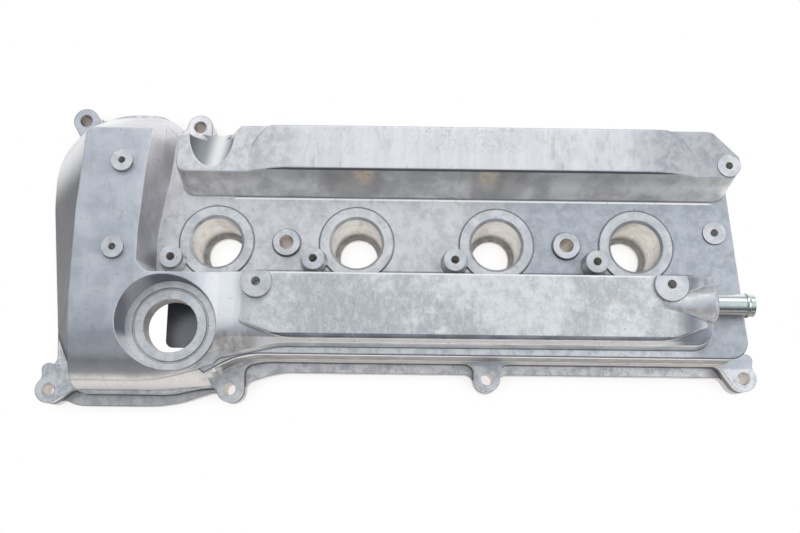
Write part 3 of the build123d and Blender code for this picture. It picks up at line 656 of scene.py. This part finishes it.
casting = nodes["cover_casting"]
dress(
    casting,
    cast_skin("cast_decks", Casting.skins, Casting.rolls, Casting.bulge),
    cast_skin("cast_crowns", Casting.crowns, Casting.rolls, Casting.bulge),
    cast_skin(
        "cast_walls", Casting.walls, Casting.long_side, Casting.rolls, Casting.bulge,
        Casting.rear_wall, Casting.brow_and_scoop,
    ),
    machined(),
    bore_walls(),
    lip_faces(),
)
for polygon in casting.data.polygons:
    polygon.material_index = face_kind(polygon.center, polygon.normal)
sheet = dark_sheet()
dress(nodes["breather_pipe"], zinc())
dress(nodes["front_baffle_plate"], sheet)
dress(nodes["rear_baffle_plate"], sheet)
dress(nodes["baffle_screws"], screw_steel())

# ---------------------------------------------------------------- floor, world and lights, in metres
FLOOR_HALF = 30
FLOOR_GAP = 0.0001
FLOOR_SHADE_REACH = 0.018


def white_floor():
    """Plain white sweep, with a faint painted shade under the casting's rim."""
    g = Graph("floor")
    occlusion = g.node("ShaderNodeAmbientOcclusion", samples=8)
    occlusion.inputs["Distance"].default_value = FLOOR_SHADE_REACH
    glow = g.node("ShaderNodeEmission")
    g.put(glow.inputs["Color"], g.tone(occlusion.outputs["AO"], (0.84, 0.81, 0.79), WHITE, 0.2, 0.8))
    glow.inputs["Strength"].default_value = 1.0
    path = g.node("ShaderNodeLightPath").outputs
    seen = g.either(g.either(path["Is Camera Ray"], path["Is Glossy Ray"]), path["Is Transmission Ray"])
    both = g.node("ShaderNodeMixShader")
    g.put(both.inputs[0], seen)
    g.put(both.inputs[1], g.shader.outputs[0])
    g.put(both.inputs[2], glow.outputs[0])
    # seen from below, the floor is clear and shows the inside of the cover
    clear = g.node("ShaderNodeMixShader")
    g.put(clear.inputs[0], g.back)
    g.put(clear.inputs[1], both.outputs[0])
    g.put(clear.inputs[2], g.node("ShaderNodeBsdfTransparent").outputs[0])
    g.put(g.output.inputs["Surface"], clear.outputs[0])
    g.color = (0.86, 0.86, 0.86)
    return g.finish(0.9, 0.0)


floor_corners = [
    (x * FLOOR_HALF, y * FLOOR_HALF, -FLOOR_GAP) for x, y in ((-1, -1), (1, -1), (1, 1), (-1, 1))
]
floor_mesh = bpy.data.meshes.new("floor")
floor_mesh.from_pydata(floor_corners, [], [(0, 1, 2, 3)])
floor = bpy.data.objects.new("floor", floor_mesh)
bpy.context.scene.collection.objects.link(floor)
floor.data.materials.append(white_floor())

# the way to the room's brightest part, and the room's colours from its darkest part to that one
BRIGHTEST = (0.1, 0.4, 0.91)
ROOM = [
    (0.0, (0.2, 0.21, 0.235)),
    (0.35, (0.24, 0.25, 0.28)),
    (0.62, (0.5, 0.52, 0.55)),
    (0.85, (0.85, 0.87, 0.9)),
    (1.0, (1.0, 1.01, 1.03)),
]
ROOM_STRENGTH = 0.95


def studio_world():
    """Soft room: bright above and behind, dim towards the viewer and the sides."""
    world = bpy.data.worlds.new("world")
    bpy.context.scene.world = world
    world.use_nodes = True
    tree = world.node_tree
    background = tree.nodes["Background"]
    coordinates = tree.nodes.new("ShaderNodeTexCoord")
    toward = tree.nodes.new("ShaderNodeVectorMath")
    toward.operation = "DOT_PRODUCT"
    toward.inputs[1].default_value = BRIGHTEST
    tree.links.new(coordinates.outputs["Generated"], toward.inputs[0])
    ramp = tree.nodes.new("ShaderNodeValToRGB")
    stops = ramp.color_ramp.elements
    # a new ramp has its first and last stop already
    stops[0].position, stops[1].position = ROOM[0][0], ROOM[-1][0]
    for position, _ in ROOM[1:-1]:
        stops.new(position)
    for stop, (_, color) in zip(stops, ROOM):
        stop.color = (*color, 1)
    tree.links.new(toward.outputs["Value"], ramp.inputs[0])
    tree.links.new(ramp.outputs[0], background.inputs["Color"])
    background.inputs["Strength"].default_value = ROOM_STRENGTH


def soft_light(name, place, aim, size, power, color=WHITE):
    data = bpy.data.lights.new(name, "AREA")
    data.shape = "RECTANGLE"
    data.size, data.size_y = size
    data.energy = power
    data.color = color
    obj = bpy.data.objects.new(name, data)
    bpy.context.scene.collection.objects.link(obj)
    obj.location = place
    obj.rotation_euler = (Vector(aim) - Vector(place)).to_track_quat("-Z", "Y").to_euler()


studio_world()
soft_light("key", (-0.1, 1.1, 1.2), (0, 0, 0.04), (2.2, 0.6), 7)
soft_light("right", (1.3, -0.1, 1.1), (0, -0.05, 0.04), (0.9, 1.2), 6)
soft_light("low_front", (0.1, -1.3, 0.5), (0, -0.05, 0.03), (1.6, 0.4), 2.3, (1.0, 0.97, 0.94))

# ---------------------------------------------------------------- camera
# radians from a camera that looks straight down, its place in metres, lens and sensor in mm
TILT, ROLL, YAW = 0.200744, 0.012472, 0.003904
CAMERA_PLACE = (-0.021013, -0.154450, 0.734461)
LENS, SENSOR = 45.0, 36.0


def turned(first, second, angle):
    """The two directions after a turn of the first towards the second."""
    cos, sin = math.cos(angle), math.sin(angle)
    return first * cos + second * sin, second * cos - first * sin


right = Vector((1, 0, 0))
view = Vector((0, math.sin(TILT), -math.cos(TILT)))
up = Vector((0, math.cos(TILT), math.sin(TILT)))
view, right = turned(view, right, YAW)
right, up = turned(right, up, ROLL)
camera_data = bpy.data.cameras.new("camera")
camera_data.lens = LENS
camera_data.sensor_width = SENSOR
camera = bpy.data.objects.new("camera", camera_data)
bpy.context.scene.collection.objects.link(camera)
axes = Matrix((right, up, -view)).transposed().to_4x4()
camera.matrix_world = Matrix.Translation(CAMERA_PLACE) @ axes
bpy.context.scene.camera = camera
bpy.context.scene.view_settings.view_transform = "Standard"
